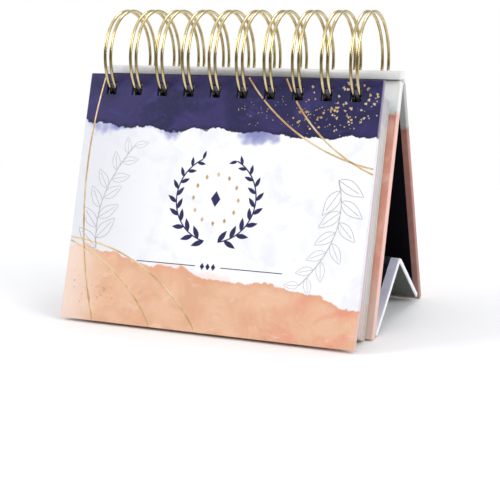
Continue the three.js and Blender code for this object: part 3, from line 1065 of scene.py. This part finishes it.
class CoverArt:
    """Puts foil and ink on the cover's face, clear of its edges and of the punched holes."""

    def __init__(self, place, top, face, punched):
        self.place = place
        self.top = top
        self.level = face + FOIL_HEIGHT / 2 - FOIL_SINK
        self.punched = punched
        self.line_tree = flat_line_tree()
        self.sprig_tree = sprig_tree()
        self.fleck_tree = fleck_tree()

    def is_clear(self, x, down, margin):
        over_hole = self.punched[0] - margin < down < self.punched[1] + margin and any(
            abs(x - centre) < HOLE_WIDTH / 2 + margin for centre in HOLE_CENTRES
        )
        return abs(x) < COVER_HALF - margin and margin < down < COVER_HEIGHT - margin and not over_hole

    def stretches(self, path):
        """The stretches of a path that can be printed."""
        runs = [[]]
        for x, down in path:
            if self.is_clear(x, down, LINE_MARGIN):
                runs[-1].append((x, down))
            else:
                runs.append([])
        return [run for run in runs if len(run) > 1]

    def put(self, name, mesh, material):
        """Lays a mesh, drawn in (x, down), on the cover's face."""
        for vertex in mesh.vertices:
            vertex.co.y = self.top - vertex.co.y
        mesh.flip_normals()
        piece(name, mesh, self.place, material, "cover")

    def drawn_line(self, paths, width, material, level=0.0, closed=False):
        mesh = path_mesh("line", [[(x, y, level) for x, y in path] for path in paths], closed)
        return run_nodes(mesh, self.line_tree, Width=width, Height=FOIL_HEIGHT, Finish=material)

    def lines(self, name, paths, width, material):
        kept = [stretch for path in paths for stretch in self.stretches(path)]
        self.put(name, self.drawn_line(kept, width, material, self.level), material)

    def marks(self, name, outlines, material):
        half = FOIL_HEIGHT / 2
        shape = joined(*(flat_solid(outline, self.level - half, self.level + half) for outline in outlines))
        self.put(name, drawn_mesh(name, shape), material)

    def copies(self, name, mesh, tree, mark, material, **settings):
        """Puts copies of a small mark where a tree sets them."""
        shape = in_scene("mark", mark)
        made = run_nodes(mesh, tree, Shape=shape, Finish=material, **settings)
        bpy.data.objects.remove(shape)
        self.put(name, made, material)

    def sprig(self, name, stem, leaf, leaves, tilt, shrink, width, seed, material):
        line = path_mesh("stem", [[(x, down, self.level) for x, down in stem]])
        self.copies(name, line, self.sprig_tree, leaf, material, Leaves=leaves, Tilt=tilt, Shrink=shrink,
                    Width=width, Height=FOIL_HEIGHT, Seed=seed)

    def outlined_leaf(self, length, width, line, material):
        """A leaf drawn in line, with its midrib."""
        rim = leaf_rim(length, width, 0.8, 12)
        loop = rim + [(x, -y) for x, y in reversed(rim[1:-1])]
        outline = self.drawn_line([loop], line, material, closed=True)
        midrib = self.drawn_line([[(0, 0), (length * MIDRIB_SHARE, 0)]], line, material)
        return drawn_mesh("outlined leaf", joined(mesh_shape(outline), mesh_shape(midrib)))

    def filled_leaf(self, length, width):
        """A filled pointed leaf."""
        rim = leaf_rim(length, width, 0.85, 8)
        outline = [(x, -y) for x, y in rim] + rim[-2:0:-1]
        return drawn_mesh("filled leaf", flat_solid(outline, -FOIL_HEIGHT / 2, FOIL_HEIGHT / 2))

    def flecks(self, name, middle, reach, density, smallest, largest, seed, material):
        """Foil flecks that thin out from the middle of a patch."""
        chance = random.Random(seed)
        points, faces = [], []
        half = FLECK_CELL / 2
        for row in range(-FLECK_ROWS, FLECK_ROWS + 1):
            for column in range(-FLECK_ROWS, FLECK_ROWS + 1):
                x, down = middle[0] + column * FLECK_CELL, middle[1] + row * FLECK_CELL
                distance = hypot((x - middle[0]) / reach[0], (down - middle[1]) / reach[1])
                if chance.random() < distance or not self.is_clear(x, down, FLECK_MARGIN):
                    continue
                faces.append(tuple(range(len(points), len(points) + 4)))
                points += [(x + right * half, down + below * half, self.level) for right, below in SQUARE]
        outline = [(radius * cos(tau * i / 7), radius * sin(tau * i / 7))
                   for i, radius in enumerate(FLECK_RADII)]
        fleck = drawn_mesh("fleck", flat_solid(outline, -FOIL_HEIGHT / 2, FOIL_HEIGHT / 2))
        patch = drawn_mesh(name, (points, faces, [False] * len(faces)))
        self.copies(name, patch, self.fleck_tree, fleck, material, Density=density, Smallest=smallest,
                    Largest=largest, Seed=seed)


def cover_artwork(place, top, face, punched):
    art = CoverArt(place, top, face, punched)
    # The foil's light and dark streaks paint its highlights.
    foil = metal("gold foil", 0xFAE2B6, 0xD2A668, 0.36, 0.12, 0.006, metallic=0.55)
    grey_ink = printed_ink("pale grey ink", 0xBCBABE, 0xD6D5DA)
    navy_ink = printed_ink("navy ink", 0x282658, 0x363468)

    arcs = [circle_path(96, -34, 78, 60, 180, 900), circle_path(84, -56, 94, 60, 180, 900),
            circle_path(-92, 152, 80, -180, 0, 900), circle_path(-72, 160, 86, -180, 0, 900)]
    art.lines("gold_corner_arcs", arcs, FOIL_LINE, foil)
    art.lines("gold_side_arc", [circle_path(140, 40, 204.5, 150, 200, 400)], FOIL_LINE, foil)
    art.flecks("gold_flecks", (50, 11), (24, 12), 0.34, 0.6, 1.5, 5, foil)
    art.flecks("gold_dust", (34, 14), (34, 11), 0.3, 0.3, 0.6, 8, foil)
    art.flecks("gold_foot_flecks", (-50, 96), (22, 12), 0.2, 0.35, 0.9, 12, foil)

    drawn_leaf = art.outlined_leaf(13.0, 5.6, 0.32, grey_ink)
    for name, stem, seed in (
        ("left_sprig", [(-55, 78), (-60, 55), (-42, 32)], 3),
        ("right_sprig", [(54, 42), (62, 64), (42, 86)], 6),
    ):
        art.sprig(name, curved_path(stem, 24), drawn_leaf, 12, 0.8, 0.5, 0.36, seed, grey_ink)

    wreath_leaf = art.filled_leaf(6.4, 2.3)
    for name, first, last, seed in (("wreath_left", 100, 244, 21), ("wreath_right", 80, -64, 22)):
        stem = circle_path(*WREATH_MIDDLE, 18.5, first, last, 40)
        art.sprig(name, stem, wreath_leaf, 17, 0.7, 0.4, 0.55, seed, navy_ink)
    ring = circle_path(*WREATH_MIDDLE, 10.5, 0, 360, len(MONTHS))[:-1]
    art.marks("month_diamonds", [diamond(*spot, 0.75, 1.15) for spot in ring], foil)
    art.marks("middle_diamond", [diamond(*WREATH_MIDDLE, 2.2, 3.4)], navy_ink)
    rules = [[(x, RULE_DOWN) for x in stops] for stops in ((-34, -20, -6), (6, 20, 34))]
    art.lines("rule_lines", rules, 0.35, navy_ink)
    art.marks("rule_diamonds", [diamond(x, RULE_DOWN, 1.0, 1.5) for x in (-2.6, 0, 2.6)], navy_ink)


# Studio


def studio_camera():
    lens = bpy.data.cameras.new("camera")
    lens.lens = CAMERA_LENS
    lens.sensor_width = SENSOR_WIDTH
    camera = in_scene("camera", lens)
    camera.location = CAMERA_PLACE
    camera.rotation_euler = (
        Matrix.Rotation(CAMERA_TURN, 4, "Z")
        @ Matrix.Rotation(pi / 2 - CAMERA_PITCH, 4, "X")
        @ Matrix.Rotation(CAMERA_ROLL, 4, "Z")
    ).to_euler()
    bpy.context.scene.camera = camera
    bpy.context.scene.view_settings.view_transform = "Standard"


def backdrop(tree, kind, plain, dark, screen, share=1.0):
    """White light where the background is seen, with a dark screen in it that only metal reflects."""
    path = tree.node("ShaderNodeLightPath")
    glossy = path.output("Is Glossy Ray")
    seen = path.output("Is Camera Ray").largest(glossy).largest(path.output("Is Transmission Ray"))
    white, black = (tree.node(kind, {"Color": colour, "Strength": 1.0}) for colour in ((1, 1, 1), dark))
    shown = tree.node("ShaderNodeMixShader", {0: screen * glossy, 1: white, 2: black})
    return tree.node("ShaderNodeMixShader", {0: share * seen, 1: plain, 2: shown})


def studio_world():
    world = bpy.data.worlds.new("studio")
    bpy.context.scene.world = world
    world.use_nodes = True
    tree = Tree(world.node_tree)
    direction = tree.node("ShaderNodeSeparateXYZ", {0: tree.node("ShaderNodeTexCoord").output("Generated")})
    height = direction.output("Z")
    behind_camera = direction.output("Y").step(0.35, -0.25)
    screen = height.step(0.74, 0.4) * height.step(-0.5, -0.1) * (0.5 + 0.5 * behind_camera)
    ambient = tree.node("ShaderNodeBackground", {"Color": (0.96, 0.975, 1.0), "Strength": 0.66})
    light = backdrop(tree, "ShaderNodeBackground", ambient, (0.16, 0.15, 0.14), screen)
    tree.node("ShaderNodeOutputWorld", {"Surface": light})


def area_light(name, place, aim, size, power):
    lamp = bpy.data.lights.new(name, "AREA")
    lamp.size = size
    lamp.energy = power
    made = in_scene(name, lamp)
    made.location = place
    made.rotation_euler = (Vector(aim) - Vector(place)).to_track_quat("-Z", "Y").to_euler()


def studio_floor():
    """A pale floor that keeps the calendar's shadow and runs out into the white background."""
    corners = [(right * FLOOR_REACH, back * FLOOR_REACH, 0) for right, back in SQUARE]
    floor = in_scene("floor", drawn_mesh("floor", (corners, [(0, 1, 2, 3)], [False])))
    material = bpy.data.materials.new("pale floor")
    material.use_nodes = True
    tree = Tree(material.node_tree)
    place = tree.node("ShaderNodeTexCoord").output("Object")
    distance = tree.node("ShaderNodeVectorMath", {0: place}, "Value", operation="LENGTH")
    in_front = tree.node("ShaderNodeSeparateXYZ", {0: place}).output("Y").step(0.05, -0.15, 0.0, 0.85)
    paper = tree.node("ShaderNodeBsdfPrincipled", {"Base Color": (0.95, 0.95, 0.955), "Roughness": 0.8,
                                                   "Specular IOR Level": 0.2})
    far = distance.step(0.12, 0.45)
    light = backdrop(tree, "ShaderNodeEmission", paper, (0.2, 0.18, 0.15), in_front, far)
    tree.node("ShaderNodeOutputMaterial", {"Surface": light})
    floor.data.materials.append(material)


# The calendar, put together

front_place = panel_frame("easel_front_board", JOINTS["cover_turn"])
back_place = panel_frame("easel_back_board", JOINTS["back_board_fold"])
cover_place = panel_frame("cover_board", JOINTS["cover_turn"])
base_front_place = panel_frame("base_front_panel", JOINTS["base_front_fold"])
base_back_place = panel_frame("base_back_panel", JOINTS["base_crease_fold"])

dark_paper = dark_lining_paper()
white_paper = plain_paper("white wrapping paper", 0xEAEAE8, 0xD8D8D7)
liner_paper = plain_paper("white cover liner", 0xF0F0F0, 0xE4E4E6, 0.65)
lilac_paper = plain_paper("pale lilac wrapping paper", 0xE8E8F0, 0xDADAE4)

front_low, front_high = panel_box("easel_front_board", front_place)
back_high = panel_box("easel_back_board", back_place)[1]
# The last two tones of each row are painted light on the board's edges and turned-in margin: painted shade
# on the back board, a paler pink painted highlight on the front board.
for side, place, body, top, fade, inner, painted_light_white_edge, painted_light_wet_edge in (
    ("front", front_place, "easel", front_high.y, 13.0, front_low.z, 0xE2E2E1, 0xEEC4BC),
    ("back", back_place, "back_board", back_high.y, 19.0, back_high.z, 0x8C8C8C, 0x8E625C),
):
    wrap = easel_print(side + " board wrap", top, fade, inner, painted_light_white_edge, painted_light_wet_edge)
    stand_flat(board(side + "_easel_board", f"easel_{side}_board", place, wrap, body,
                     BOARD_ROUND, BOARD_CORNER))
for side, place, body, face in (("front", front_place, "easel", front_low.z),
                                ("back", back_place, "back_board", back_high.z)):
    lining(side + "_dark_lining", side + "_board_lining", place, dark_paper, body, face, widen=LINING_SPREAD)

for side, place, underside in (("base_front", base_front_place, -BASE_THICKNESS),
                               ("base_back", base_back_place, 0.0)):
    wrap = base_wrap(side.replace("_", " ") + " wrap", underside)
    board(side + "_board", side + "_panel", place, wrap, side, PANEL_ROUND, PANEL_CORNER)
for side, place, face, reach in (("base_front", base_front_place, 0.0, BASE_LENGTH - 0.4),
                                 ("base_back", base_back_place, -BASE_THICKNESS, -0.7)):
    lining(side + "_dark_lining", side + "_lining", place, dark_paper, side, face, reach=reach)

ridge_cover(white_paper)
spine_strip(greyboard())
# Painted shade: a near-black sheet in the ridge's groove.
groove_paper(front_place, dark_paper)
back_hinge(back_place, white_paper)
foot_hinge(front_place, base_front_place, lilac_paper)
crease_fold(base_front_place, base_back_place, lilac_paper, dark_paper)

binding_wire(metal("gilt wire", 0xDECE9E, 0xC0B080, 0.17, 0.2, 0.001))
stack_tree = leaf_stack_tree()
for number, month in enumerate(MONTHS):
    month_leaves(month, number, stack_tree)

cover_low, cover_high = panel_box("cover_board", cover_place)
cover_holes = hole_span("cover_board", cover_place)
board("printed_cover", "cover_board", cover_place, cover_print(cover_high.y), "cover",
      COVER_ROUND, COVER_CORNER, PRINT_DROP)
lining("cover_liner_sheet", "cover_lining", cover_place, liner_paper, "cover", cover_low.z)
cover_artwork(cover_place, cover_high.y, cover_high.z - PRINT_DROP,
              (cover_high.y - cover_holes[1], cover_high.y - cover_holes[0]))

studio_camera()
studio_world()
area_light("key", (-1.0, -0.45, 0.75), (0, 0, 0.05), 0.6, 6.0)
area_light("fill", (0.95, -0.25, 0.6), (0, 0, 0.05), 0.6, 4.5)
area_light("top", (0.1, 0.5, 1.05), (0, 0, 0.1), 0.5, 3.2)
studio_floor()
